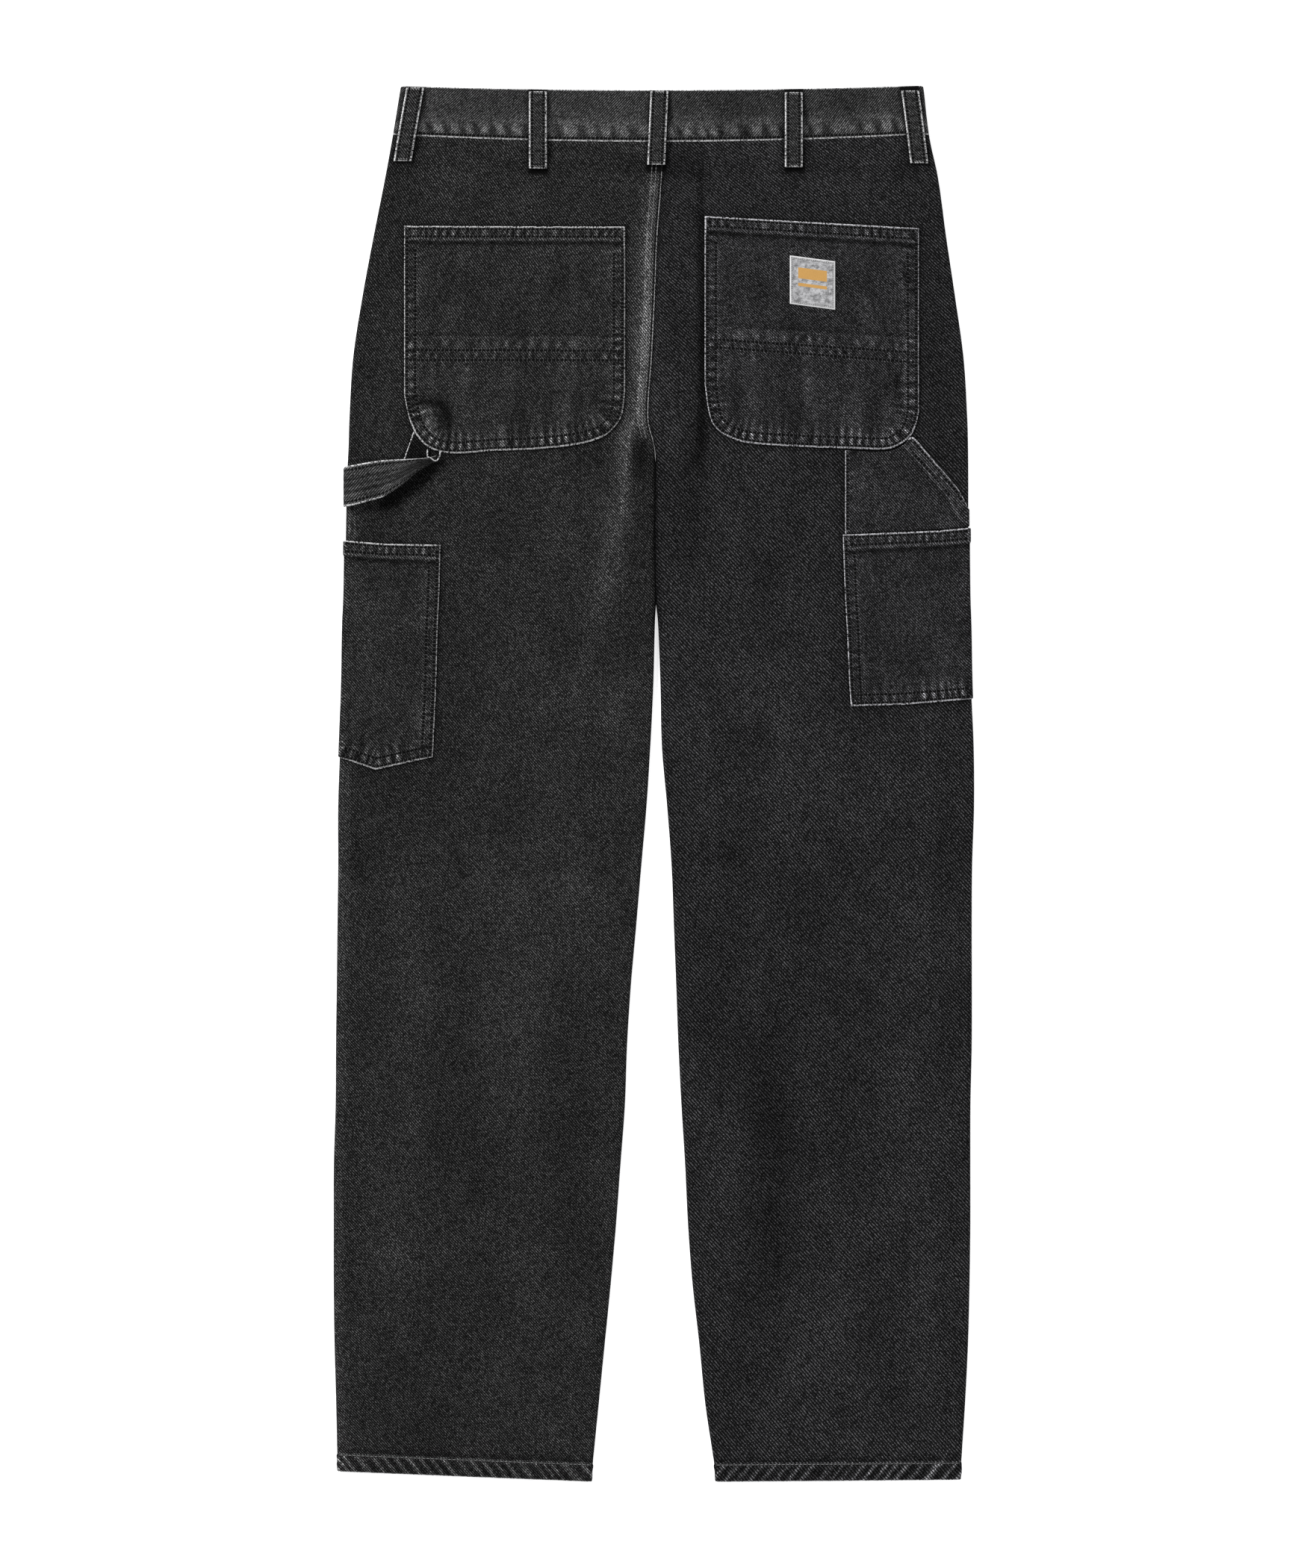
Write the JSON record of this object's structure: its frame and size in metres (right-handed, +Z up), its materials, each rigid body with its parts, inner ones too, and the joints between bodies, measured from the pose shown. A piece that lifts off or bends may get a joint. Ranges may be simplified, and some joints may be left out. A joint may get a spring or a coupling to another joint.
{
  "type": "carpenter pants",
  "caption": "Carpenter trousers of dark denim laid flat on their front, with patch back pockets, tool and utility pockets on the legs, belt loops and a hammer loop.",
  "frame": {"origin": "on the resting plane, under the middle of the garment's whole outline", "axes": "+Y along the garment towards the waist, +X to the right as seen from above with the back facing up, +Z up out of the back"},
  "size_m": [0.5016, 1.0928, 0.0145],
  "materials": {
    "denim": "washed black denim twill",
    "label_cloth": "light grey woven cloth",
    "button_metal": "aged metal"
  },
  "bodies": {
    "root": {"back_panel_left": "denim", "back_panel_right": "denim", "front_panel_left": "denim", "front_panel_right": "denim", "waistband": "denim", "belt_loop_back_left": "denim", "belt_loop_back_mid_left": "denim", "belt_loop_back_centre": "denim", "belt_loop_back_mid_right": "denim", "belt_loop_back_right": "denim", "belt_loop_front_left": "denim", "belt_loop_front_right": "denim", "waist_button": "button_metal", "back_pocket_left": "denim", "back_pocket_right": "denim", "label": "label_cloth", "hammer_loop": "denim", "utility_pocket": "denim", "tool_pocket_upper": "denim", "tool_pocket_lower": "denim"}
  },
  "joints": []
}
